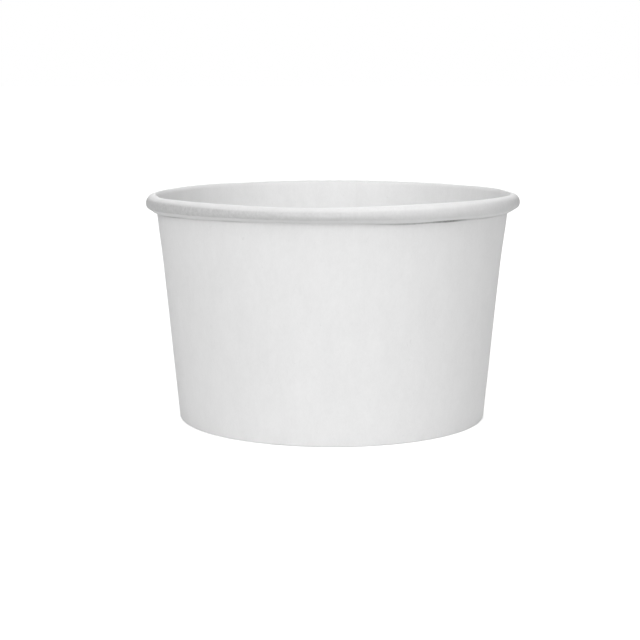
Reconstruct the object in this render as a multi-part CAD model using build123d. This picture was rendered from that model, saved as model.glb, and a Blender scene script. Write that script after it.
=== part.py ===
from build123d import *

from math import asin, atan2, ceil, cos, degrees, radians, sin, tan
import os

# Paper sundae cup: a wrapped and side-seamed paperboard wall with a rolled rim, and
# a pressed paperboard bottom whose skirt is held in the hem of the wall.
#
# The frame has +Z up. Its origin is the centre of the foot circle, on the table.
# The side seam is at the back, near +Y. Lengths are in millimetres.
# A ring with a round section has very many facets, so the round stretches of the
# section are short straight chords between points on the true arcs.

# Outside of the cup
rim_diameter = 95.0        # over the rolled rim
cup_height = 57.5          # table to the top of the rolled rim
foot_diameter = 78.8       # over the wall, produced down to the table

# Board
side_board = 0.38          # caliper of the wall's board
base_board = 0.30          # caliper of the bottom's board
seal_film = 0.02           # melted coating left between two sealed boards

# Rolled rim
roll_width = 3.2           # mouth face to the outermost point
roll_flat = 0.6            # upright band on the outside, between the two halves of the roll
curl_clearance = 0.10      # between the doubled wall at the seam and the roll that comes back to it
tuck_hollow = 0.12         # radius left inside the tucked end, behind both plies of the seam
tuck_turn = 45             # degrees that the tucked end turns on, inside the roll

# Foot
recess_depth = 6.0         # table to the underside of the bottom
hem_height = 5.0           # table to the raw edge of the turned-in hem
fold_radius = 0.06         # food side of the pressed fold
skirt_lift = 0.25          # lower edge of the skirt, above the doubled fold
bend_radius = 0.4          # food side of the bottom, where it turns down into the skirt

# Side seam
seam_lap = 9.0             # width of the overlap, along the rim
seam_ramp = 1.6            # width over which the outer end climbs onto the inner end
seam_azimuth = 81.0        # degrees from +X to the raw edge of the inner end

# Chords of the round stretches
open_chord_turn = 30       # most degrees in one chord of the rim's top, which is seen and felt
hidden_chord_turn = 48     # most degrees in one chord under the roll, in the fold and in the bend

# Bearings and turns in the section, in degrees anticlockwise, bearings from outward
outward = 0
upward = 90
inward = 180
downward = 270
quarter_turn = 90
half_turn = 180

# Values that follow from the sizes above
rim_radius = rim_diameter / 2
foot_radius = foot_diameter / 2
roll_radius = roll_width / 2
roll_centre = (rim_radius - roll_radius, cup_height - roll_radius)
hollow_radius = roll_radius - side_board
to_roll = (roll_centre[0] - foot_radius, roll_centre[1])
reach = (to_roll[0] ** 2 + to_roll[1] ** 2) ** 0.5
taper = degrees(atan2(to_roll[0], to_roll[1]) - asin(hollow_radius / reach))

flare = tan(radians(taper))            # outward for each unit of height
slant = cos(radians(taper))            # thickness square to the wall, for each unit of it measured level
lower_roll_height = roll_centre[1] - roll_flat
lapped_wall_radius = foot_radius + lower_roll_height * flare + side_board / slant
lower_roll_radius = (rim_radius - lapped_wall_radius - curl_clearance) / 2
lower_roll_centre = (rim_radius - lower_roll_radius, lower_roll_height)
tuck_radius = 2 * side_board + tuck_hollow
tuck_centre = (rim_radius - 2 * lower_roll_radius + tuck_radius, lower_roll_height)

pocket = base_board + 2 * seal_film
lap_angle = degrees(seam_lap / rim_radius)
ramp_angle = degrees(seam_ramp / rim_radius)


def on_cone(height, depth):
    """The point at that height, and that deep inside the outer face of the single wall."""
    return (foot_radius + height * flare - depth / slant, height)


def bend(centre, radius, start, turn, chord_turn):
    """The points of a round stretch about a centre, from a start bearing on through a turn."""
    chords = ceil(abs(turn) / chord_turn)
    bearings = [radians(start + turn * step / chords) for step in range(chords + 1)]
    return [(centre[0] + radius * cos(b), centre[1] + radius * sin(b)) for b in bearings]


def board_line(ply, fold_plies):
    """The line that lies `ply` boards outside the food side, from the hem's edge to the tucked edge.

    fold_plies is the number of boards that the fold stands on, so that it rests on the table.
    """
    out = ply * side_board
    fold_centre_height = fold_plies * side_board + fold_radius
    hem_centre = on_cone(fold_centre_height, side_board + pocket - fold_radius)
    wall_centre = on_cone(fold_centre_height, side_board + fold_radius)
    fold_bend = fold_radius + out
    return [
        on_cone(hem_height, side_board + pocket + out),
        *bend(hem_centre, fold_bend, inward - taper, quarter_turn + taper, hidden_chord_turn),
        *bend(wall_centre, fold_bend, downward, quarter_turn - taper, hidden_chord_turn),
        *bend(roll_centre, roll_radius - out, inward - taper, taper - quarter_turn, open_chord_turn),
        *bend(roll_centre, roll_radius - out, upward, -quarter_turn, open_chord_turn)[1:],
        *bend(lower_roll_centre, lower_roll_radius - out, outward, -half_turn, hidden_chord_turn),
        *bend(tuck_centre, tuck_radius - out, inward, -tuck_turn, hidden_chord_turn)[1:],
    ]


def board_section(first_ply, last_ply, fold_plies):
    """The cut face of the wall between two such lines, in the XZ plane."""
    inner = board_line(first_ply, fold_plies)
    outer = board_line(last_ply, fold_plies)
    return Plane.XZ * make_face(Polyline(*inner, *reversed(outer), close=True))


def make_sidewall():
    """The wall: one board, wrapped, lapped at the seam, rolled at the rim and hemmed at the foot."""
    single = board_section(0, 1, 1)
    climbed = board_section(1, 2, 2)
    double = board_section(0, 2, 2)
    lap = revolve(double, Axis.Z, lap_angle)
    wrap = revolve(Rot(0, 0, lap_angle) * single, Axis.Z, 360 - lap_angle - ramp_angle)
    ramp = loft([Rot(0, 0, -ramp_angle) * single, climbed], ruled=True)
    return Rot(0, 0, seam_azimuth) * (wrap + ramp + lap)


def make_bottom_disc():
    """The bottom: a flat disc, its edge turned down into a skirt that follows the wall.

    The bend is round on the food side and pressed to a sharp corner on the underside.
    """
    top_height = recess_depth + base_board
    outer_depth = side_board + seal_film
    inner_depth = outer_depth + base_board
    skirt_end = 2 * side_board + skirt_lift
    bend_centre = on_cone(top_height - bend_radius, outer_depth + bend_radius)
    outline = [
        (0, top_height),
        *bend(bend_centre, bend_radius, upward, -(quarter_turn + taper), hidden_chord_turn),
        on_cone(skirt_end, outer_depth),
        on_cone(skirt_end, inner_depth),
        on_cone(recess_depth, inner_depth),
        (0, recess_depth),
    ]
    return revolve(Plane.XZ * make_face(Polyline(*outline, close=True)), Axis.Z, 360)


def main():
    os.makedirs("parts", exist_ok=True)
    export_step(make_sidewall(), "parts/sidewall.step")
    export_step(make_bottom_disc(), "parts/bottom_disc.step")


if __name__ == "__main__":
    main()
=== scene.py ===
"""Paper sundae cup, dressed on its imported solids.

The cup is two pieces of board. The wall is one strip, drawn as the line of its food side and
swept once round the cup and over its own start, so that the rolled rim, the lap of the seam and
the hem at the foot are one sheet. The bottom is a pressed disc whose skirt is held in the hem.
The frame has +Z up, its origin is the centre of the foot on the table, and the camera looks
along +Y, so the front of the cup is at -Y and the seam is at the back. Lengths are in metres.
An azimuth is measured from +X, and a bearing from the front of the cup towards its right.
"""

from math import asin, atan2, cos, exp, hypot, pi, radians, sin, tan

import bpy
from bpy.props import FloatProperty, FloatVectorProperty, IntProperty, PointerProperty
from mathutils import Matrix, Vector, noise


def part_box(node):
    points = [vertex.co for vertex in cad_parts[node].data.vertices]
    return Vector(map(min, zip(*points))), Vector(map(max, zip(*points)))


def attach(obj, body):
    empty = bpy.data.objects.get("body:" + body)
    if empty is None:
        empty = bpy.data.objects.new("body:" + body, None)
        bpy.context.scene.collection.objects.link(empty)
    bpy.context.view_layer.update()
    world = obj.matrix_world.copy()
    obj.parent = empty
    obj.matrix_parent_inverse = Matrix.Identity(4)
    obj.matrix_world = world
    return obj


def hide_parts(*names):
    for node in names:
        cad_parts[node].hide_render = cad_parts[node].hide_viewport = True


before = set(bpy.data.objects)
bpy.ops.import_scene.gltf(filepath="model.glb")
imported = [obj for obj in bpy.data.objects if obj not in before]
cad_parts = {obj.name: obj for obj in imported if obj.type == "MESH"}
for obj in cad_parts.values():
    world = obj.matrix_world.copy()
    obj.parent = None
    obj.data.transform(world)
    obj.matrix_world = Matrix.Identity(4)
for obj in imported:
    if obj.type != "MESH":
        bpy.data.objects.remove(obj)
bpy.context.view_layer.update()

bl_info = {
    "name": "Paper sundae cup",
    "version": (1, 0, 0),
    "blender": (4, 5, 0),
    "location": "View3D > Sidebar > Paper Cup",
    "description": "Builds a paperboard dessert cup: wall, rolled rim, hem and pressed bottom",
    "category": "Add Mesh",
}

MM = 0.001
OUTER_PLY_GROUP = "outer ply"
OUTSIDE_GROUP = "outside"
PRESSED_EDGE_GROUP = "pressed edge"
# Rows of the wall under the roll that take painted shade
CREVICE_GROUP = "crevice"
TONE_ATTRIBUTE = "tone"

wall_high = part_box("sidewall")[1]
disc_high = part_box("bottom_disc")[1]

# Turns, and directions in the section, anticlockwise from outward
QUARTER_TURN = pi / 2
HALF_TURN = pi
FULL_TURN = 2 * pi
INWARD = pi
DOWNWARD = 3 * pi / 2
CROWN_START = radians(100)
CROWN_END = radians(33)

# Steps of the mesh along each stretch of the wall's section, from the hem to the tuck
HEM_STEPS = 4
FOLD_STEPS = 3
WALL_STEPS = 12
MOUTH_STEPS = 5
CROWN_STEPS = 4
SHOULDER_STEPS = 9
SLOPE_STEPS = 2
ROLL_FOOT_STEPS = 9
TUCK_STEPS = 3

# Steps of the mesh along the bottom's section, from the axis to the skirt's edge
MIDDLE_STEPS = 12
EDGE_STEPS = 5
BOTTOM_BEND_STEPS = 5
SKIRT_STEPS = 3
EDGE_WIDTH = 3 * MM

# Columns to spare on the ramp of the seam, and column turns between two columns of the bottom
RAMP_EXTRA_COLUMNS = 2
BOTTOM_COLUMN_TURNS = 2

PEN_DOT = 0.1 * MM
SMOOTH_ANGLE = radians(50)

# Closer than these is the same bearing, the same height, the same point, and on the axis
TINY_ANGLE = radians(0.1)
TINY_LENGTH = 0.001 * MM
MERGE_LENGTH = 0.002 * MM
AXIS_RADIUS = 0.01 * MM

# The line pressed into the wall under the roll, from the roll's bottom, and the rows beside it
CREVICE_BELOW = 0.34 * MM
CREVICE_ABOVE = 0.06 * MM
CREVICE_LEAD_IN = 0.40 * MM
CREVICE_LIP = 0.12 * MM
CREVICE_LEAD_OUT = 0.25 * MM
CREVICE_REACH = 0.9 * MM
CREVICE_BITE = 0.12 * MM


def length(name, description, default):
    """A length that a user may change, in metres."""
    return FloatProperty(
        name=name, description=description, default=default,
        subtype="DISTANCE", unit="LENGTH", precision=5,
    )


def angle(name, description, default):
    """An angle that a user may change."""
    return FloatProperty(name=name, description=description, default=default, subtype="ANGLE")


def share(name, description, default, most=1.0):
    """A plain number from 0 up to a limit."""
    return FloatProperty(name=name, description=description, default=default, min=0.0, max=most)


def grey(name, description, value):
    """A neutral colour that a user may change."""
    return FloatVectorProperty(
        name=name, description=description, default=(value, value, value),
        subtype="COLOR", size=3, min=0.0, max=1.0,
    )


class CupSizes(bpy.types.PropertyGroup):
    """Sizes of the cup, its folds and its seam."""

    rim_diameter: length("Rim diameter", "Over the rolled rim", 2 * wall_high.x)
    cup_height: length("Height", "Table to the top of the rolled rim", wall_high.z)
    foot_diameter: length("Foot diameter", "Over the wall, at the table", 78.8 * MM)
    side_board: length("Wall board", "Caliper of the wall's board", 0.38 * MM)
    base_board: length("Bottom board", "Caliper of the bottom's board", 0.30 * MM)
    seal_film: length("Seal film", "Coating left between two sealed boards", 0.02 * MM)
    roll_width: length("Roll width", "Mouth face to the outermost point of the rim", 3.2 * MM)
    roll_flat: length("Roll flat", "Upright band of the solid's roll", 0.6 * MM)
    crown_radius: length("Crown radius", "Top of the roll", 1.9 * MM)
    shoulder_radius: length("Shoulder radius", "Outside of the roll, above its slope", 1.63 * MM)
    roll_slope: angle("Roll slope", "Lean of the roll's outer face under the shoulder", radians(60))
    roll_foot_radius: length("Roll foot", "Bend at the bottom of the roll", 0.45 * MM)
    foot_clearance: length("Foot clearance", "Single wall to the foot of the roll", 0.15 * MM)
    tuck_hollow: length("Tuck hollow", "Radius left inside the tucked end", 0.12 * MM)
    tuck_turn: angle("Tuck turn", "How far the tucked end turns on inside the roll", radians(70))
    bottom_top: length("Bottom height", "Table to the food side of the bottom", disc_high.z)
    bottom_dish: length("Bottom dish", "How far the middle of the bottom sags", 0.35 * MM)
    hem_height: length("Hem height", "Table to the raw edge of the hem", 5.0 * MM)
    fold_radius: length("Fold radius", "Food side of the fold at the foot", 0.06 * MM)
    skirt_lift: length("Skirt lift", "Skirt's edge above the doubled fold", 0.25 * MM)
    bend_radius: length("Bottom bend", "Food side of the bend into the skirt", 0.4 * MM)
    hem_ridges: IntProperty(
        name="Hem ridges", description="Ridges that the knurled wheel presses into the hem",
        default=144, min=0,
    )
    ridge_depth: length("Ridge depth", "Depth of the pressed grooves in the hem", 0.07 * MM)
    seam_lap: length("Seam lap", "Width of the overlap along the rim", 9.0 * MM)
    seam_ramp: length("Seam ramp", "Width over which the outer end climbs", 1.6 * MM)
    pressed_width: length("Pressed width", "Width of the inner end that is pressed thin", 1.2 * MM)
    pressed_share: FloatProperty(
        name="Pressed share", description="Thickness left at the pressed edge", default=0.10,
        min=0.05, max=1.0,
    )
    seam_azimuth: angle("Seam place", "From +X to the raw edge of the inner end", radians(81))
    column_turn: angle("Column turn", "Turn between two columns of the mesh", radians(0.5))


class CupWear(bpy.types.PropertyGroup):
    """How far the rim, the roll and the wall are from true."""

    rim_warp: share("Rim warp", "Rise and dip of the rim round the cup", 1.0, 3.0)
    roll_stretch: share("Roll stretch", "Uneven height of the roll round the cup", 1.0, 3.0)
    roll_gap: share("Roll gap", "How unevenly the roll's foot stands off the wall", 1.0, 3.0)
    wall_bow: share("Wall bow", "Hollow of the wall, and its flare near the rim", 1.0, 3.0)
    rim_shift: length("Rim shift", "How far the mouth leans to the right", 0.2 * MM)
    ripple: length("Ripple", "Height of the small waves in the board", 0.025 * MM)


class CupFinish(bpy.types.PropertyGroup):
    """Colours of the board, with the painted shade on the roll's lower part and in the crevice
    under it, and the painted highlight on the crown.
    """

    outside: grey("Outside", "Plain face of the board", 0.87)
    food_side: grey("Food side", "Coated face of the board", 0.86)
    raw_edge: grey("Raw edge", "Cut edge of the board", 0.80)
    # Painted shade on the roll's lower, down-facing part: the tone kept there
    painted_roll_shade: share("Stretched tone", "Tone left where rolling stretches the board", 0.70)
    # Painted highlight on the top of the crown: the tone added there
    painted_crown_highlight: share("Polish", "Tone gained where the die polishes the crown", 0.11)
    # Painted shade in the crevice under the roll: the share of tone taken away
    crevice: share("Crevice", "Tone lost in the crevice where the roll bites into the wall", 1.0)


class CupStage(bpy.types.PropertyGroup):
    """The floor, the light and the camera."""

    floor: grey("Floor", "Plain pale floor", 0.95)
    camera_distance: length("Camera distance", "Cup's axis to the camera, level", 401.6 * MM)
    camera_height: length("Camera height", "Table to the camera", 86.4 * MM)
    camera_tilt: angle("Camera tilt", "How far the camera looks down", radians(8.77))
    camera_turn: angle("Camera turn", "How far the camera looks left of the axis", 0.00756)
    camera_lens: FloatProperty(
        name="Lens", description="Focal length on a 36 mm wide frame", default=88.2,
        unit="CAMERA",
    )


def on_circle(centre, radius, bearing):
    """The point on a circle in the section, at a bearing from its centre."""
    return (centre[0] + radius * cos(bearing), centre[1] + radius * sin(bearing))


def azimuth_of(vertex):
    """A vertex's azimuth from +X, between -180 and 180 degrees."""
    return (atan2(vertex.co.y, vertex.co.x) + pi) % FULL_TURN - pi


def smooth_step(value):
    """0 below 0, 1 above 1, and smooth between."""
    value = min(max(value, 0.0), 1.0)
    return value * value * (3 - 2 * value)


def swell(bearing, centre, width):
    """1 at a centre bearing, falling smoothly away within about a width on both sides."""
    away = (bearing - centre + pi) % FULL_TURN - pi
    return exp(-((away / width) ** 2))


def band(value, centre, width):
    """1 up to half a width from a centre, and 0 from a width away, on both sides."""
    return smooth_step(2 * (1 - abs(value - centre) / width))


class Section:
    """The line that the wall's food side follows, and what else follows from the sizes."""

    def __init__(self, sizes):
        self.sizes = sizes
        board = sizes.side_board
        self.rim_radius = sizes.rim_diameter / 2
        self.foot_radius = sizes.foot_diameter / 2
        self.roll_radius = sizes.roll_width / 2
        self.roll_centre = (
            self.rim_radius - self.roll_radius, sizes.cup_height - self.roll_radius,
        )
        to_roll = (self.roll_centre[0] - self.foot_radius, self.roll_centre[1])
        hollow_radius = self.roll_radius - board
        self.taper = atan2(*to_roll) - asin(hollow_radius / hypot(*to_roll))
        self.flare = tan(self.taper)
        self.slant = cos(self.taper)

        self.set_roll()
        self.pocket = sizes.base_board + 2 * sizes.seal_film
        self.lap_angle = sizes.seam_lap / self.rim_radius
        self.ramp_angle = sizes.seam_ramp / self.rim_radius
        self.pressed_angle = sizes.pressed_width / self.rim_radius

    def lap_depth(self, azimuth):
        """How far the outer ply is behind the inner one, at an azimuth from that one's edge."""
        return smooth_step((azimuth + self.ramp_angle - self.pressed_angle) / self.ramp_angle)

    def on_cone(self, height, depth):
        """The point at that height, and that deep inside the outer face of the single wall."""
        return (self.foot_radius + height * self.flare - depth / self.slant, height)

    def set_roll(self):
        """The bends of the roll, each tangent to the next, from the mouth to the tuck."""
        sizes = self.sizes
        board = sizes.side_board
        crown = sizes.crown_radius
        shoulder = sizes.shoulder_radius
        foot = sizes.roll_foot_radius
        slope = sizes.roll_slope
        self.crown_centre = (
            self.rim_radius - shoulder - (crown - shoulder) * cos(CROWN_END),
            sizes.cup_height - crown,
        )
        self.shoulder_centre = on_circle(self.crown_centre, crown - shoulder, CROWN_END)

        food_side = self.on_cone(self.crown_centre[1], board)[0]
        reach = (self.crown_centre[0] - food_side) * self.slant
        lean = cos(CROWN_START) * self.slant - sin(CROWN_START) * sin(self.taper)
        self.mouth_radius = (reach + crown * lean) / (1 + lean)
        self.mouth_centre = on_circle(self.crown_centre, crown - self.mouth_radius, CROWN_START)

        self.tuck_height = self.roll_centre[1] - sizes.roll_flat
        inner_face = self.on_cone(self.tuck_height, 0.0)[0] + sizes.foot_clearance
        across = self.shoulder_centre[0] + (shoulder - foot) * cos(slope) - foot - inner_face
        slope_run = across / sin(slope)
        slope_start = on_circle(self.shoulder_centre, shoulder, -slope)
        self.slope_end = (
            slope_start[0] - slope_run * sin(slope), slope_start[1] - slope_run * cos(slope),
        )
        self.foot_centre = on_circle(self.slope_end, foot, HALF_TURN - slope)
        self.roll_bottom = self.foot_centre[1] - foot
        self.crevice_low = self.roll_bottom - CREVICE_BELOW
        self.crevice_high = self.roll_bottom + CREVICE_ABOVE
        self.tuck_radius = 2 * board + sizes.tuck_hollow
        self.tuck_centre = (inner_face + self.tuck_radius, self.tuck_height)


class Pen:
    """Draws the line of a board in the XZ plane, by extruding and spinning its end in edit mode."""

    def __init__(self, name, start):
        bpy.ops.object.select_all(action="DESELECT")
        bpy.ops.mesh.primitive_plane_add(size=PEN_DOT, location=(start[0], 0, start[1]))
        bpy.context.object.name = name
        bpy.ops.object.transform_apply(location=True, rotation=True, scale=True)
        bpy.ops.object.mode_set(mode="EDIT")
        bpy.ops.mesh.select_all(action="SELECT")
        bpy.ops.mesh.merge(type="CENTER")
        self.point = start

    def line_to(self, point, steps):
        """A straight run to a point, in equal steps."""
        step = ((point[0] - self.point[0]) / steps, 0, (point[1] - self.point[1]) / steps)
        for _ in range(steps):
            bpy.ops.mesh.extrude_vertices_move(TRANSFORM_OT_translate={"value": step})
        self.point = point

    def bend(self, centre, turn, steps):
        """A round bend about a centre, anticlockwise for a positive turn."""
        bpy.ops.mesh.spin(
            steps=steps, angle=turn, center=(centre[0], 0, centre[1]), axis=(0, 1, 0),
        )
        reach = (self.point[0] - centre[0], self.point[1] - centre[1])
        self.point = on_circle(centre, hypot(*reach), atan2(reach[1], reach[0]) + turn)


def sweep(turn, steps):
    """Spins what is selected round the cup's axis, anticlockwise from above."""
    bpy.ops.mesh.spin(steps=steps, angle=-turn, center=(0, 0, 0), axis=(0, 0, 1))


def activate(piece):
    """Leaves one piece selected and active."""
    bpy.ops.object.select_all(action="DESELECT")
    piece.select_set(True)
    bpy.context.view_layer.objects.active = piece


def apply_modifier(kind, name, **settings):
    """Adds a modifier to the active object, sets it and applies it."""
    bpy.ops.object.modifier_add(type=kind)
    modifier = bpy.context.object.modifiers[-1]
    modifier.name = name
    for setting, value in settings.items():
        setattr(modifier, setting, value)
    bpy.ops.object.modifier_apply(modifier=modifier.name)


def face_food_side(piece, reference, wanted):
    """Turns every face of an open sheet so that its food side is its front."""
    bpy.ops.object.mode_set(mode="EDIT")
    bpy.ops.mesh.select_all(action="SELECT")
    bpy.ops.mesh.normals_make_consistent(inside=False)
    bpy.ops.object.mode_set(mode="OBJECT")
    nearest = min(piece.data.polygons, key=lambda face: (face.center - reference).length)
    if nearest.normal.dot(wanted) < 0:
        bpy.ops.object.mode_set(mode="EDIT")
        bpy.ops.mesh.select_all(action="SELECT")
        bpy.ops.mesh.flip_normals()
        bpy.ops.object.mode_set(mode="OBJECT")


def reshape(piece, move):
    """Moves each vertex as a function of its bearing from the front, its radius and its height."""
    for vertex in piece.data.vertices:
        x, y, height = vertex.co
        radius = hypot(x, y)
        if radius < AXIS_RADIUS:
            bearing = 0.0
        else:
            bearing = atan2(x, -y)
        new_radius, new_height = move(vertex, bearing, radius, height)
        vertex.co = (new_radius * sin(bearing), -new_radius * cos(bearing), new_height)
    piece.data.update()


def add_group(piece, name, weights):
    """Adds a vertex group from pairs of vertex index and weight."""
    group = piece.vertex_groups.new(name=name)
    for index, weight in weights:
        group.add([index], weight, "REPLACE")


def finish_board(piece):
    """Shades a finished piece of board smooth, but for its cut edges."""
    piece.vertex_groups.clear()
    activate(piece)
    bpy.ops.object.shade_smooth_by_angle(angle=SMOOTH_ANGLE)


def draw_wall_line(section):
    """The food side of the wall, from the hem's raw edge to the tucked edge inside the roll."""
    sizes = section.sizes
    board = sizes.side_board
    fold_radius = sizes.fold_radius
    fold_height = board + fold_radius
    taper = section.taper
    hem_depth = board + section.pocket
    hem_centre = section.on_cone(fold_height, hem_depth - fold_radius)
    wall_centre = section.on_cone(fold_height, board + fold_radius)

    pen = Pen("wrapped_sidewall", section.on_cone(sizes.hem_height, hem_depth))
    pen.line_to(on_circle(hem_centre, fold_radius, INWARD - taper), HEM_STEPS)
    pen.bend(hem_centre, QUARTER_TURN + taper, FOLD_STEPS)
    pen.line_to(on_circle(wall_centre, fold_radius, DOWNWARD), 1)
    pen.bend(wall_centre, QUARTER_TURN - taper, FOLD_STEPS)
    pen.line_to(section.on_cone(section.crevice_low - CREVICE_LEAD_IN, board), WALL_STEPS)
    for height in (
        section.crevice_low - CREVICE_LIP, section.crevice_low,
        section.crevice_high, section.crevice_high + CREVICE_LEAD_OUT,
    ):
        pen.line_to(section.on_cone(height, board), 1)
    pen.line_to(on_circle(section.mouth_centre, section.mouth_radius, INWARD - taper), 1)
    pen.bend(section.mouth_centre, CROWN_START - INWARD + taper, MOUTH_STEPS)
    pen.bend(section.crown_centre, CROWN_END - CROWN_START, CROWN_STEPS)
    pen.bend(section.shoulder_centre, -CROWN_END - sizes.roll_slope, SHOULDER_STEPS)
    pen.line_to(section.slope_end, SLOPE_STEPS)
    pen.bend(section.foot_centre, sizes.roll_slope - HALF_TURN, ROLL_FOOT_STEPS)
    pen.line_to((section.tuck_centre[0] - section.tuck_radius, section.tuck_height), 1)
    pen.bend(section.tuck_centre, -sizes.tuck_turn, TUCK_STEPS)


def wrap_strip(piece, section):
    """Sweeps the line round the cup and on over its start, and groups plies and crevice."""
    column_turn = section.sizes.column_turn
    single_turn = FULL_TURN - section.ramp_angle
    bpy.ops.mesh.select_all(action="SELECT")
    sweep(single_turn, round(single_turn / column_turn))
    piece.update_from_editmode()
    single_count = len(piece.data.vertices)
    sweep(section.ramp_angle, round(section.ramp_angle / column_turn) + RAMP_EXTRA_COLUMNS)
    sweep(section.lap_angle, round(section.lap_angle / column_turn))
    bpy.ops.object.mode_set(mode="OBJECT")

    outer, pressed, crevice = [], [], []
    crevice_rows = (section.crevice_low, section.crevice_high)
    for vertex in piece.data.vertices:
        azimuth = azimuth_of(vertex)
        if vertex.index >= single_count:
            outer.append((vertex.index, section.lap_depth(azimuth)))
        elif -TINY_ANGLE < azimuth < section.pressed_angle:
            pressed.append((vertex.index, 1 - section.lap_depth(azimuth)))
        on_wall = hypot(vertex.co.x, vertex.co.y) < section.on_cone(vertex.co.z, 0.0)[0]
        if on_wall and min(abs(vertex.co.z - row) for row in crevice_rows) < TINY_LENGTH:
            crevice.append((vertex.index, 1.0))
    add_group(piece, OUTER_PLY_GROUP, outer)
    add_group(piece, PRESSED_EDGE_GROUP, pressed)
    add_group(piece, CREVICE_GROUP, crevice)


# The turn past the lap over which the fold settles, and the heights over which its lift fades
SETTLE_ANGLE = radians(1.5)
LIFT_START = 1.0 * MM
LIFT_FADE = 3.0 * MM


def lay_seam(piece, section):
    """Lifts the outer ply by one board, and the fold under both plies to stand on the table."""
    sizes = section.sizes
    lapped_board = sizes.side_board + sizes.seal_film / 2
    outer = piece.vertex_groups[OUTER_PLY_GROUP].index
    activate(piece)
    apply_modifier(
        "DISPLACE", "Outer ply", strength=-lapped_board, mid_level=0.0,
        direction="NORMAL", vertex_group=OUTER_PLY_GROUP,
    )
    for vertex in piece.data.vertices:
        azimuth = azimuth_of(vertex)
        groups = [group.weight for group in vertex.groups if group.group == outer]
        if groups:
            lapped = groups[0]
        elif azimuth >= -TINY_ANGLE:
            lapped = section.lap_depth(azimuth)
            lapped *= 1 - smooth_step((azimuth - section.lap_angle) / SETTLE_ANGLE)
        else:
            lapped = 0.0
        near_fold = 1 - smooth_step((vertex.co.z - LIFT_START) / LIFT_FADE)
        lift = lapped_board * lapped * near_fold
        if lift > 0:
            radius = hypot(vertex.co.x, vertex.co.y)
            out = 1 + lift * section.flare / radius
            vertex.co = (vertex.co.x * out, vertex.co.y * out, vertex.co.z + lift)
    piece.data.update()
    activate(piece)
    piece.rotation_euler = (0, 0, sizes.seam_azimuth)
    bpy.ops.object.transform_apply(location=True, rotation=True, scale=True)


# Heights above which the rim shifts, the wall flares and the roll has its own shape, and fades
RIM_START = 52.5 * MM
RIM_FADE = 3.0 * MM
FLARE_START = 40.0 * MM
FLARE_FADE = 12.0 * MM
ROLL_START = 50 * MM
ROLL_FADE = 2 * MM

# How far past the wall's food side the roll begins, and its bulge behind the seam
ROLL_CLEAR = 0.30 * MM
ROLL_CLEAR_FADE = 0.4 * MM
TUCK_FADE = 0.4 * MM
SEAM_BULGE_SHARE = 0.8

# The wall moves freely from a little above the bottom, and its hollow turns about this level
FREE_OF_BOTTOM = 1.0 * MM
FREE_FADE = 8.0 * MM
HOLLOW_LEVEL = 0.35

# Sizes of the small waves in the wall, the roll, the rim's height and the bottom
WALL_WAVE = 9 * MM
ROLL_WAVE = 2.2 * MM
RIM_WAVE = 3.1 * MM
RIM_WAVE_START = Vector((7, 3, 5))
RIM_WAVE_POWER = 6
BOTTOM_WAVE = 7 * MM
BOTTOM_WAVE_HEIGHT = 3.0 * MM

# Where the cup is out of true: bearing, width round the cup, and amount
RIM_RISE = (
    (radians(-5), radians(22), -0.20 * MM),
    (radians(34), radians(24), 0.28 * MM),
    (radians(64), radians(18), 0.25 * MM),
    (radians(-10), radians(16), -0.10 * MM),
    (radians(-68), radians(8), -0.15 * MM),
    (radians(118), radians(26), -0.05 * MM),
    (radians(112), radians(9), 0.11 * MM),
    (radians(180), radians(45), 0.22 * MM),
    (radians(-126), radians(16), 0.17 * MM),
    (radians(-112), radians(32), -0.18 * MM),
)
ROLL_DROP = (
    (radians(-90), radians(36), 0.42 * MM),
    (radians(-8), radians(30), -0.34 * MM),
    (radians(-44), radians(8), 0.12 * MM),
    (radians(23), radians(12), 0.44 * MM),
    (radians(41), radians(8), 0.12 * MM),
    (radians(54), radians(8), 0.18 * MM),
    (radians(64), radians(18), 0.22 * MM),
    (radians(90), radians(30), 0.25 * MM),
)
ROLL_OPEN = (
    (radians(-8), radians(22), -0.10 * MM),
    (radians(38), radians(12), 0.20 * MM),
    (radians(-90), radians(28), 0.34 * MM),
    (radians(90), radians(28), 0.34 * MM),
)
ROLL_SAG = (
    (radians(-95), radians(36), 0.35 * MM),
    (radians(95), radians(36), 0.20 * MM),
)
# How far the roll bites into the wall round the cup, and how dark the painted shade in that crevice
# is
CREVICE_BITE_AND_SHADE = (
    (radians(38.5), radians(6), 0.50),
    (radians(25), radians(11), 0.30),
    (radians(54), radians(10), 0.14),
    (radians(-60), radians(8), 0.22),
    (radians(-31), radians(6), 0.14),
)
CREVICE_WIDENING = ((radians(38.5), radians(6), 0.14 * MM),)
WALL_FLARE = (
    (radians(-90), radians(40), 0.22 * MM),
    (radians(90), radians(40), 0.30 * MM),
)
WALL_HOLLOW = (
    (radians(78), radians(50), 0.16 * MM),
    (radians(-70), radians(50), 0.03 * MM),
)


def round_the_cup(table, bearing):
    """The sum of the swells in a table, at a bearing from the front."""
    return sum(amount * swell(bearing, centre, width) for centre, width, amount in table)


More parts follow.
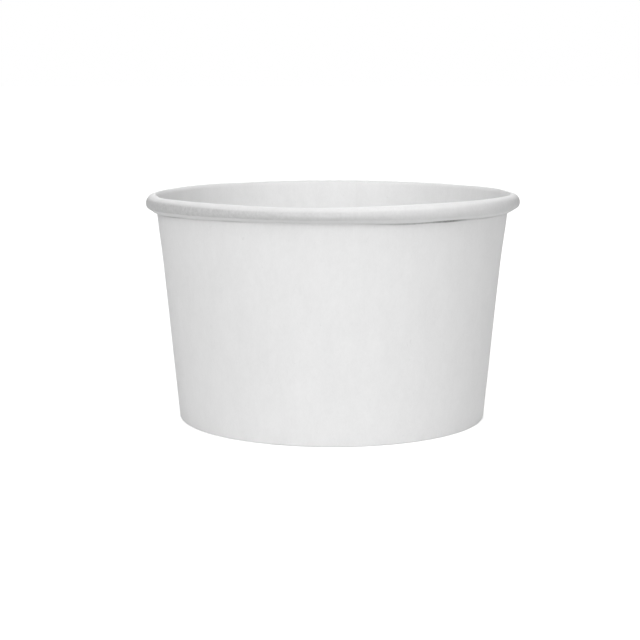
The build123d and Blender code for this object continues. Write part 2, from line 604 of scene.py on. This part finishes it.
def weather_wall(piece, section, wear):
    """Takes the rim, the roll and the wall a little out of true, as a machine leaves board."""
    sizes = section.sizes
    roll_middle, roll_bottom = section.shoulder_centre[1], section.roll_bottom
    crown, rim = section.crown_centre[0], section.rim_radius
    crevice_middle = (section.crevice_low + section.crevice_high) / 2
    clear_of_bottom = sizes.bottom_top + FREE_OF_BOTTOM
    bulge_width = SEAM_BULGE_SHARE * section.lap_angle
    seam_bearing = sizes.seam_azimuth + QUARTER_TURN + section.lap_angle / 2

    def move(vertex, bearing, radius, height):
        up = height / sizes.cup_height
        free = smooth_step((height - clear_of_bottom) / FREE_FADE)
        past_wall = radius - section.on_cone(height, sizes.side_board)[0]
        on_roll = smooth_step((past_wall - ROLL_CLEAR) / ROLL_CLEAR_FADE)
        on_roll *= smooth_step((height - ROLL_START) / ROLL_FADE)
        below_middle = max((roll_middle - height) / (roll_middle - roll_bottom), 0.0)

        drop = wear.roll_stretch * round_the_cup(ROLL_DROP, bearing)
        opening = wear.roll_gap * round_the_cup(ROLL_OPEN, bearing)
        outer = min(max((radius - crown) / (rim - crown), 0.0), 1.0)
        sag = wear.roll_stretch * round_the_cup(ROLL_SAG, bearing) * outer ** 2
        over_seam = sizes.side_board * swell(bearing, seam_bearing, bulge_width)
        tucked = smooth_step((roll_middle - height) / TUCK_FADE)
        new_height = height - on_roll * (below_middle * drop + sag)
        new_radius = radius + on_roll * (below_middle * opening + tucked * over_seam)

        in_crevice = band(height, crevice_middle, CREVICE_REACH) * (1 - on_roll)
        lowered = drop
        if height < crevice_middle:
            lowered += round_the_cup(CREVICE_WIDENING, bearing)
        bite = CREVICE_BITE * round_the_cup(CREVICE_BITE_AND_SHADE, bearing)
        new_height -= in_crevice * lowered
        new_radius -= in_crevice * (lowered * section.flare + bite)

        bow = wear.wall_bow * round_the_cup(WALL_HOLLOW, bearing)
        new_radius += free * bow * ((2 * up - 1) ** 2 - HOLLOW_LEVEL)
        flared = smooth_step((height - FLARE_START) / FLARE_FADE) * (1 - on_roll)
        new_radius += wear.wall_bow * flared * round_the_cup(WALL_FLARE, bearing)
        new_radius += wear.rim_shift * smooth_step((height - RIM_START) / RIM_FADE) * sin(bearing)
        new_height += wear.rim_warp * up * up * round_the_cup(RIM_RISE, bearing)

        place = Vector((sin(bearing) * radius, cos(bearing) * radius, height))
        new_radius += free * wear.ripple * noise.noise(place / WALL_WAVE)
        new_radius += on_roll * wear.ripple * noise.noise(place / ROLL_WAVE)
        rim_wave = noise.noise(place / RIM_WAVE + RIM_WAVE_START)
        new_height += up ** RIM_WAVE_POWER * wear.ripple * rim_wave
        return new_radius, new_height

    reshape(piece, move)


def group_weight(piece, vertex, name):
    """A vertex's weight in a group, 0 outside it."""
    wanted = piece.vertex_groups[name].index
    return max((member.weight for member in vertex.groups if member.group == wanted), default=0.0)


# Where the roll takes its painted shade, and its crown its painted highlight, as directions from
# its middle, and how each side fades
ROLL_SHADE_START = radians(42)
ROLL_SHADE_FADE_IN = radians(34)
ROLL_SHADE_END = radians(-68)
ROLL_SHADE_FADE_OUT = radians(20)
ROLL_SHADE_AT_FOOT = 0.25
HIGHLIGHT_START = radians(112)
HIGHLIGHT_FADE_IN = radians(12)
HIGHLIGHT_END = radians(20)
HIGHLIGHT_FADE_OUT = radians(25)

# The part of the section that takes these tones: from a height, and from past the wall's outside
TONE_START = 52.0 * MM
TONE_FADE = 1.0 * MM
TONE_CLEAR = 0.05 * MM
TONE_CLEAR_FADE = 0.3 * MM

# How the tones change round the cup: bearing, width, and amount
# Painted shade of the roll: how much it eases, and how far its start shifts, round the cup
ROLL_SHADE_EASE = (
    (radians(26), radians(38), 0.63),
    (radians(60), radians(18), 0.25),
)
ROLL_SHADE_SHIFT = (
    (radians(62), radians(22), radians(22)),
    (radians(-58), radians(22), radians(13)),
)
# Painted highlight of the crown round the cup
CROWN_HIGHLIGHT = ((radians(14), radians(28), 1.0),)


def mark_tone(piece, section, finish):
    """Writes each vertex's tone: painted shade on the roll's lower part and in the crevice under
    the roll, and a painted highlight on the crown.
    """
    centre_radius, centre_height = section.shoulder_centre
    layer = piece.data.attributes.new(TONE_ATTRIBUTE, "FLOAT", "POINT")
    for vertex in piece.data.vertices:
        radius = hypot(vertex.co.x, vertex.co.y)
        height = vertex.co.z
        bearing = atan2(vertex.co.x, -vertex.co.y)
        facing = atan2(height - centre_height, radius - centre_radius)
        past_wall = radius - section.on_cone(height, 0.0)[0]
        on_roll = smooth_step((height - TONE_START) / TONE_FADE)
        on_roll *= smooth_step((past_wall - TONE_CLEAR) / TONE_CLEAR_FADE)
        start = ROLL_SHADE_START + round_the_cup(ROLL_SHADE_SHIFT, bearing)
        at_foot = 1 - smooth_step((facing - ROLL_SHADE_END) / ROLL_SHADE_FADE_OUT)
        # Painted shade on the roll from below the crown down to its foot, eased and shifted round
        # the cup
        roll_shaded = smooth_step((start - facing) / ROLL_SHADE_FADE_IN) * on_roll
        roll_shaded *= 1 - (1 - ROLL_SHADE_AT_FOOT) * at_foot
        roll_shaded *= 1 - round_the_cup(ROLL_SHADE_EASE, bearing)
        # Painted highlight on the top of the crown, strongest at the front
        crown_highlighted = smooth_step((facing - HIGHLIGHT_END) / HIGHLIGHT_FADE_OUT)
        crown_highlighted *= smooth_step((HIGHLIGHT_START - facing) / HIGHLIGHT_FADE_IN)
        crown_highlighted *= round_the_cup(CROWN_HIGHLIGHT, bearing)
        # Painted shade takes tone away, and painted highlight adds it
        tone = 1 - (1 - finish.painted_roll_shade) * roll_shaded + finish.painted_crown_highlight * crown_highlighted
        # Painted shade in the crevice rows of the wall under the roll
        if group_weight(piece, vertex, OUTSIDE_GROUP) > 0:
            crevice = finish.crevice * round_the_cup(CREVICE_BITE_AND_SHADE, bearing)
            tone *= 1 - crevice * group_weight(piece, vertex, CREVICE_GROUP)
        layer.data[vertex.index].value = tone


# The knurled band of the hem: its start above the table, and its end below the hem's raw edge
KNURL_START = 0.9 * MM
KNURL_FADE_IN = 0.5 * MM
KNURL_END = 0.5 * MM
KNURL_FADE_OUT = 0.4 * MM
HEM_FACE_SLACK = 0.1 * MM


def knurl_hem(piece, section):
    """Presses upright grooves into the face of the hem that shows under the cup."""
    sizes = section.sizes
    group = piece.vertex_groups[OUTSIDE_GROUP].index
    hem_face = section.foot_radius - sizes.side_board - section.pocket + HEM_FACE_SLACK

    def move(vertex, bearing, radius, height):
        shown = any(member.group == group for member in vertex.groups)
        inside = radius - height * section.flare < hem_face
        if not (shown and inside and height < sizes.hem_height):
            return radius, height
        low = smooth_step((height - KNURL_START) / KNURL_FADE_IN)
        high = 1 - smooth_step((height - sizes.hem_height + KNURL_END) / KNURL_FADE_OUT)
        groove = (1 + cos(bearing * sizes.hem_ridges)) / 2 * low * high
        return radius + sizes.ridge_depth * groove, height

    reshape(piece, move)


def draw_bottom_line(section):
    """The food side of the bottom, from the axis out to the lower edge of the skirt."""
    sizes = section.sizes
    top = sizes.bottom_top
    outer_depth = sizes.side_board + sizes.seal_film
    skirt_end = 2 * sizes.side_board + sizes.skirt_lift
    bend_centre = section.on_cone(top - sizes.bend_radius, outer_depth + sizes.bend_radius)
    pen = Pen("pressed_bottom", (0.0, top))
    pen.line_to((bend_centre[0] - EDGE_WIDTH, top), MIDDLE_STEPS)
    pen.line_to((bend_centre[0], top), EDGE_STEPS)
    pen.bend(bend_centre, -(QUARTER_TURN + section.taper), BOTTOM_BEND_STEPS)
    pen.line_to(section.on_cone(skirt_end, outer_depth), SKIRT_STEPS)


# The flat border of the bottom beside the wall, and the width over which its dish begins
BORDER_WIDTH = 1.5 * MM
DISH_FADE = 9 * MM


def dish_bottom(piece, section, wear):
    """Lets the middle of the bottom sag, faintly rippled, and keeps its sealed edge in place."""
    sizes = section.sizes
    edge = section.on_cone(sizes.bottom_top, sizes.side_board)[0] - BORDER_WIDTH

    def move(vertex, bearing, radius, height):
        inside = smooth_step((edge - radius) / DISH_FADE)
        place = Vector((sin(bearing) * radius, cos(bearing) * radius, BOTTOM_WAVE_HEIGHT))
        ripple = wear.ripple * noise.noise(place / BOTTOM_WAVE)
        return radius, height - inside * (sizes.bottom_dish - ripple)

    reshape(piece, move)


class NodeBench:
    """Adds nodes to a cleared node tree, with each socket linked or set."""

    def __init__(self, tree):
        tree.nodes.clear()
        self.nodes, self.links = tree.nodes, tree.links

    def feed(self, socket, value):
        """Links a socket to another node's output, or sets it to a plain value."""
        if isinstance(value, bpy.types.NodeSocket):
            self.links.new(value, socket)
        else:
            socket.default_value = value

    def add(self, kind, **values):
        """A node whose sockets are fed by name, with spaces written as underscores."""
        node = self.nodes.new(kind)
        for name, value in values.items():
            self.feed(node.inputs[name.replace("_", " ")], value)
        return node

    def math(self, operation, first, second):
        """The result of a sum, a difference or a product."""
        node = self.nodes.new("ShaderNodeMath")
        node.operation = operation
        self.feed(node.inputs[0], first)
        self.feed(node.inputs[1], second)
        return node.outputs["Value"]

    def blend(self, parts):
        """The sum of several values, each times its share."""
        total = None
        for value, part in parts:
            scaled = self.math("MULTIPLY", value, part)
            total = scaled if total is None else self.math("ADD", total, scaled)
        return total

    def pattern(self, vector, scale, detail, roughness, distortion):
        """A noise, as a value."""
        node = self.add(
            "ShaderNodeTexNoise", Vector=vector, Scale=scale, Detail=detail,
            Roughness=roughness, Distortion=distortion,
        )
        return node.outputs["Fac"]

    def spread(self, value, source, target, interpolation="LINEAR"):
        """A value taken from one range to another, and kept within it."""
        node = self.add(
            "ShaderNodeMapRange", Value=value, From_Min=source[0], From_Max=source[1],
            To_Min=target[0], To_Max=target[1],
        )
        node.interpolation_type = interpolation
        return node.outputs["Result"]

    def mix(self, factor, first, second, blend_type="MIX"):
        """A colour between two others, or one times the other."""
        node = self.nodes.new("ShaderNodeMix")
        node.data_type = "RGBA"
        node.blend_type = blend_type
        # Mix has a set of sockets for each data type: these are the factor and the two colours
        for index, value in ((0, factor), (6, first), (7, second)):
            self.feed(node.inputs[index], value)
        return node.outputs[2]

    def finish(self, kind, shader):
        """Ends the tree in an output of a kind."""
        self.links.new(shader, self.nodes.new(kind).inputs["Surface"])


def new_material(name):
    """A node material with nothing in it yet, and its bench."""
    material = bpy.data.materials.new(name)
    material.use_nodes = True
    return material, NodeBench(material.node_tree)


def opaque(colour):
    """A colour with full cover, as a colour socket takes it."""
    return (*colour, 1.0)


# Patterns in the board: scale, detail, roughness and distortion of each noise
FIBRES = (2400.0, 4.0, 0.62, 0.4)
FELT = (760.0, 3.0, 0.55, 0.0)
FORMATION = (210.0, 3.0, 0.5, 0.0)
CLOUDS = (36.0, 2.0, 0.5, 0.0)
FLECKS = (1150.0, 1.0, 0.4, 1.2)
MOTTLE = (1400.0, 4.0, 0.65, 0.0)

# How much each pattern counts in the tone, the gloss and the relief
TONE_SHARES = (0.34, 0.22, 0.26, 0.18)
FLECK_SHARE = 0.22
GLOSS_SHARES = (0.6, 0.4)
RELIEF_SHARES = (0.45, 0.55)

# Ranges: the middle of a noise, what counts as a fleck, and the mottle of the toned roll
NOISE_RANGE = (0.3, 0.7)
FLECK_RANGE = (0.74, 0.82)
MOTTLE_RANGE = (0.78, 1.22)
FULL_RANGE = (0.0, 1.0)
ROUGHNESS_SPREAD = 0.07
COAT_ROUGHNESS = 0.42

# Each face of the board: contrast of tone, roughness, gloss, coat, and depth of the relief
BOARD_FACES = (
    ("food_side", 0.055, 0.55, 0.4, 0.12, 0.010 * MM),
    ("outside", 0.047, 0.72, 0.3, 0.0, 0.020 * MM),
    ("raw_edge", 0.10, 0.85, 0.2, 0.0, 0.040 * MM),
)

# The way the fibres run, as the scale of the patterns along each axis
WALL_RUN = (1.0, 1.0, 0.45)
BOTTOM_RUN = (1.0, 0.5, 1.0)


def board_material(name, colour, contrast, roughness, gloss, coat, relief, run, toned):
    """White board: fibres that run one way, cloudy formation, rare flecks and felt marks."""
    material, bench = new_material(name)
    place = bench.add("ShaderNodeTexCoord").outputs["Object"]
    along = bench.add("ShaderNodeMapping", Vector=place, Scale=run).outputs["Vector"]
    fibres = bench.pattern(along, *FIBRES)
    felt = bench.pattern(along, *FELT)
    formation = bench.pattern(along, *FORMATION)
    clouds = bench.pattern(along, *CLOUDS)
    flecks = bench.pattern(along, *FLECKS)

    tone = bench.blend(zip((fibres, felt, formation, clouds), TONE_SHARES))
    fleck = bench.spread(flecks, FLECK_RANGE, FULL_RANGE, "SMOOTHSTEP")
    tone = bench.math("SUBTRACT", tone, bench.math("MULTIPLY", fleck, FLECK_SHARE))
    dark = opaque(channel * (1 - contrast) for channel in colour)
    light = opaque(min(channel * (1 + contrast), 1.0) for channel in colour)
    colours = bench.mix(bench.spread(tone, NOISE_RANGE, FULL_RANGE), dark, light)
    if toned:
        # The tone attribute carries the painted shade and painted highlight into the colour,
        # faintly mottled
        mark = bench.add("ShaderNodeAttribute")
        mark.attribute_name = TONE_ATTRIBUTE
        mottle = bench.spread(bench.pattern(place, *MOTTLE), NOISE_RANGE, MOTTLE_RANGE)
        change = bench.math("SUBTRACT", mark.outputs["Fac"], 1.0)
        toning = bench.math("ADD", bench.math("MULTIPLY", change, mottle), 1.0)
        colours = bench.mix(1.0, colours, toning, "MULTIPLY")

    roughness_range = (roughness - ROUGHNESS_SPREAD, roughness + ROUGHNESS_SPREAD)
    sheen = bench.blend(zip((felt, formation), GLOSS_SHARES))
    height = bench.blend(zip((fibres, felt), RELIEF_SHARES))
    bump = bench.add("ShaderNodeBump", Strength=1.0, Distance=relief, Height=height)
    shader = bench.add(
        "ShaderNodeBsdfPrincipled", Base_Color=colours, Specular_IOR_Level=gloss,
        Roughness=bench.spread(sheen, NOISE_RANGE, roughness_range),
        Coat_Weight=coat, Coat_Roughness=COAT_ROUGHNESS, Normal=bump.outputs["Normal"],
    )
    bench.finish("ShaderNodeOutputMaterial", shader.outputs["BSDF"])
    return material


def board_materials(finish, prefix, run, toned=False):
    """The three faces of one board: coated food side, plain outside and raw edge."""
    return [
        board_material(
            f"{prefix}_{face}", getattr(finish, face), *look, run, toned and face != "raw_edge",
        )
        for face, *look in BOARD_FACES
    ]


def thicken(piece, board, materials, pressed_share=1.0):
    """Gives a sheet its board's thickness behind the food side, less where its edge is pressed."""
    for material in materials:
        piece.data.materials.append(material)
    activate(piece)
    piece.vertex_groups.new(name=OUTSIDE_GROUP)
    if PRESSED_EDGE_GROUP not in piece.vertex_groups:
        piece.vertex_groups.new(name=PRESSED_EDGE_GROUP)
    apply_modifier(
        "SOLIDIFY", "Board", thickness=board, offset=-1.0, use_even_offset=True,
        use_quality_normals=True, use_rim=True, material_offset=1, material_offset_rim=2,
        shell_vertex_group=OUTSIDE_GROUP, vertex_group=PRESSED_EDGE_GROUP, invert_vertex_group=True,
        thickness_vertex_group=pressed_share,
    )


class PAPERCUP_OT_wrap_sidewall(bpy.types.Operator):
    """Wrap, roll and hem the wall, as one strip of board"""

    bl_idname = "papercup.wrap_sidewall"
    bl_label = "Wrap the sidewall"

    def execute(self, context):
        sizes = context.scene.papercup_sizes
        section = Section(sizes)
        draw_wall_line(section)
        piece = context.object
        wrap_strip(piece, section)
        half_way = section.on_cone(sizes.cup_height / 2, sizes.side_board)
        face_food_side(piece, Vector((-half_way[0], 0, half_way[1])), Vector((1, 0, 0)))
        lay_seam(piece, section)
        weather_wall(piece, section, context.scene.papercup_wear)
        finish = context.scene.papercup_finish
        materials = board_materials(finish, "wall", WALL_RUN, toned=True)
        thicken(piece, sizes.side_board, materials, sizes.pressed_share)
        knurl_hem(piece, section)
        mark_tone(piece, section, finish)
        finish_board(piece)
        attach(piece, "root")
        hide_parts("sidewall")
        return {"FINISHED"}


class PAPERCUP_OT_press_bottom(bpy.types.Operator):
    """Press the bottom, a disc whose edge turns down into the hem"""

    bl_idname = "papercup.press_bottom"
    bl_label = "Press the bottom"

    def execute(self, context):
        sizes = context.scene.papercup_sizes
        section = Section(sizes)
        draw_bottom_line(section)
        piece = context.object
        bpy.ops.mesh.select_all(action="SELECT")
        sweep(FULL_TURN, round(FULL_TURN / (BOTTOM_COLUMN_TURNS * sizes.column_turn)))
        bpy.ops.mesh.select_all(action="SELECT")
        bpy.ops.mesh.remove_doubles(threshold=MERGE_LENGTH)
        half_way = section.on_cone(sizes.bottom_top, 0.0)[0] / 2
        face_food_side(piece, Vector((half_way, 0, sizes.bottom_top)), Vector((0, 0, 1)))
        dish_bottom(piece, section, context.scene.papercup_wear)
        materials = board_materials(context.scene.papercup_finish, "bottom", BOTTOM_RUN)
        thicken(piece, sizes.base_board, materials)
        finish_board(piece)
        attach(piece, "root")
        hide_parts("bottom_disc")
        return {"FINISHED"}


WHITE = (1.0, 1.0, 1.0, 1.0)
BLACK = (0.0, 0.0, 0.0, 1.0)

# The floor's faint clouds, and its plain, dull surface
FLOOR_CLOUDS = (6.0, 3.0, 0.5, 0.0)
FLOOR_RANGE = (0.98, 1.0)
FLOOR_ROUGHNESS = 0.9
FLOOR_GLOSS = 0.1


def floor_material(colour, bounce, glow):
    """Pale floor, faintly cloudy, that shows paler than it lights the cup, as if burnt out."""
    material, bench = new_material("studio_floor")
    place = bench.add("ShaderNodeTexCoord").outputs["Object"]
    clouds = bench.spread(bench.pattern(place, *FLOOR_CLOUDS), FULL_RANGE, FLOOR_RANGE)
    tone = bench.mix(clouds, BLACK, opaque(colour))
    seen = bench.add("ShaderNodeLightPath").outputs["Is Camera Ray"]
    shader = bench.add(
        "ShaderNodeBsdfPrincipled", Roughness=FLOOR_ROUGHNESS, Specular_IOR_Level=FLOOR_GLOSS,
        Base_Color=bench.mix(seen, opaque((bounce, bounce, bounce)), tone),
        Emission_Color=WHITE, Emission_Strength=bench.math("MULTIPLY", seen, glow),
    )
    bench.finish("ShaderNodeOutputMaterial", shader.outputs["BSDF"])
    return material


# Soft lights from far off: name, bearing from the front, height above level, spread, strength
SOFT_LIGHTS = (
    ("front_left_light", radians(-25), radians(28), radians(25), 0.96),
    ("high_left_light", radians(-25), radians(55), radians(30), 0.58),
    ("low_front_light", radians(0), radians(8), radians(20), 0.43),
    ("right_light", radians(50), radians(28), radians(25), 0.57),
    ("high_right_light", radians(50), radians(70), radians(40), 0.44),
    ("back_light", radians(180), radians(30), radians(40), 0.79),
    ("back_left_light", radians(-135), radians(35), radians(40), 0.46),
    ("back_right_light", radians(135), radians(35), radians(40), 0.38),
)
AMBIENT_STRENGTH = 0.05
FLOOR_BOUNCE = 0.80
FLOOR_GLOW = 0.42
FLOOR_SIZE = 30.0
SENSOR_WIDTH = 36.0
CLIP_START = 10 * MM


def add_soft_light(name, bearing, elevation, spread, strength):
    """A wide, far light that shines on the cup from a bearing and a height."""
    bpy.ops.object.light_add(type="SUN", rotation=(QUARTER_TURN - elevation, 0, bearing))
    light = bpy.context.object
    light.name = name
    light.data.angle = spread
    light.data.energy = strength


def set_world(strength):
    """An even glow for the light, and plain white behind the floor."""
    world = bpy.data.worlds.new("studio_air")
    world.use_nodes = True
    bpy.context.scene.world = world
    bench = NodeBench(world.node_tree)
    seen = bench.add("ShaderNodeLightPath").outputs["Is Camera Ray"]
    glow = bench.add("ShaderNodeBackground", Color=WHITE, Strength=strength)
    white = bench.add("ShaderNodeBackground", Color=WHITE)
    choice = bench.add("ShaderNodeMixShader", Fac=seen)
    bench.feed(choice.inputs[1], glow.outputs["Background"])
    bench.feed(choice.inputs[2], white.outputs["Background"])
    bench.finish("ShaderNodeOutputWorld", choice.outputs["Shader"])


class PAPERCUP_OT_set_stage(bpy.types.Operator):
    """Lay the floor, and set the soft light and the camera"""

    bl_idname = "papercup.set_stage"
    bl_label = "Set the stage"

    def execute(self, context):
        stage = context.scene.papercup_stage
        bpy.ops.object.select_all(action="DESELECT")
        bpy.ops.mesh.primitive_plane_add(size=FLOOR_SIZE, location=(0, 0, 0))
        floor = context.object
        floor.name = "studio_floor"
        floor.data.materials.append(floor_material(stage.floor, FLOOR_BOUNCE, FLOOR_GLOW))
        set_world(AMBIENT_STRENGTH)
        for light in SOFT_LIGHTS:
            add_soft_light(*light)
        bpy.ops.object.camera_add(
            location=(0, -stage.camera_distance, stage.camera_height),
            rotation=(QUARTER_TURN - stage.camera_tilt, 0, stage.camera_turn),
        )
        camera = context.object
        camera.name = "photo_view"
        camera.data.lens = stage.camera_lens
        camera.data.sensor_fit = "HORIZONTAL"
        camera.data.sensor_width = SENSOR_WIDTH
        camera.data.clip_start = CLIP_START
        context.scene.camera = camera
        context.scene.view_settings.view_transform = "Standard"
        return {"FINISHED"}


class PAPERCUP_PT_sidebar(bpy.types.Panel):
    """The cup's steps and settings, in the 3D view's sidebar"""

    bl_idname = "PAPERCUP_PT_sidebar"
    bl_label = "Paper Cup"
    bl_space_type = "VIEW_3D"
    bl_region_type = "UI"
    bl_category = "Paper Cup"

    def draw(self, context):
        column = self.layout.column()
        for step in STEPS:
            column.operator(step.bl_idname)
        for name, _, _ in SETTINGS:
            group = getattr(context.scene, name)
            box = self.layout.box()
            for setting in group.bl_rna.properties.keys():
                if setting not in ("rna_type", "name"):
                    box.prop(group, setting)


STEPS = (PAPERCUP_OT_wrap_sidewall, PAPERCUP_OT_press_bottom, PAPERCUP_OT_set_stage)
SETTINGS = (
    ("papercup_sizes", CupSizes, "Cup sizes"),
    ("papercup_wear", CupWear, "Wear"),
    ("papercup_finish", CupFinish, "Finish"),
    ("papercup_stage", CupStage, "Stage"),
)


def register():
    """Adds the settings, the steps and the panel to Blender."""
    for name, group, label in SETTINGS:
        bpy.utils.register_class(group)
        setattr(bpy.types.Scene, name, PointerProperty(type=group, name=label))
    for step in STEPS:
        bpy.utils.register_class(step)
    bpy.utils.register_class(PAPERCUP_PT_sidebar)


def unregister():
    """Takes the panel, the steps and the settings out again."""
    bpy.utils.unregister_class(PAPERCUP_PT_sidebar)
    for step in reversed(STEPS):
        bpy.utils.unregister_class(step)
    for name, group, _ in reversed(SETTINGS):
        delattr(bpy.types.Scene, name)
        bpy.utils.unregister_class(group)


def main():
    """Builds and stages the cup."""
    register()
    bpy.ops.papercup.wrap_sidewall()
    bpy.ops.papercup.press_bottom()
    bpy.ops.papercup.set_stage()


if __name__ == "__main__":
    main()
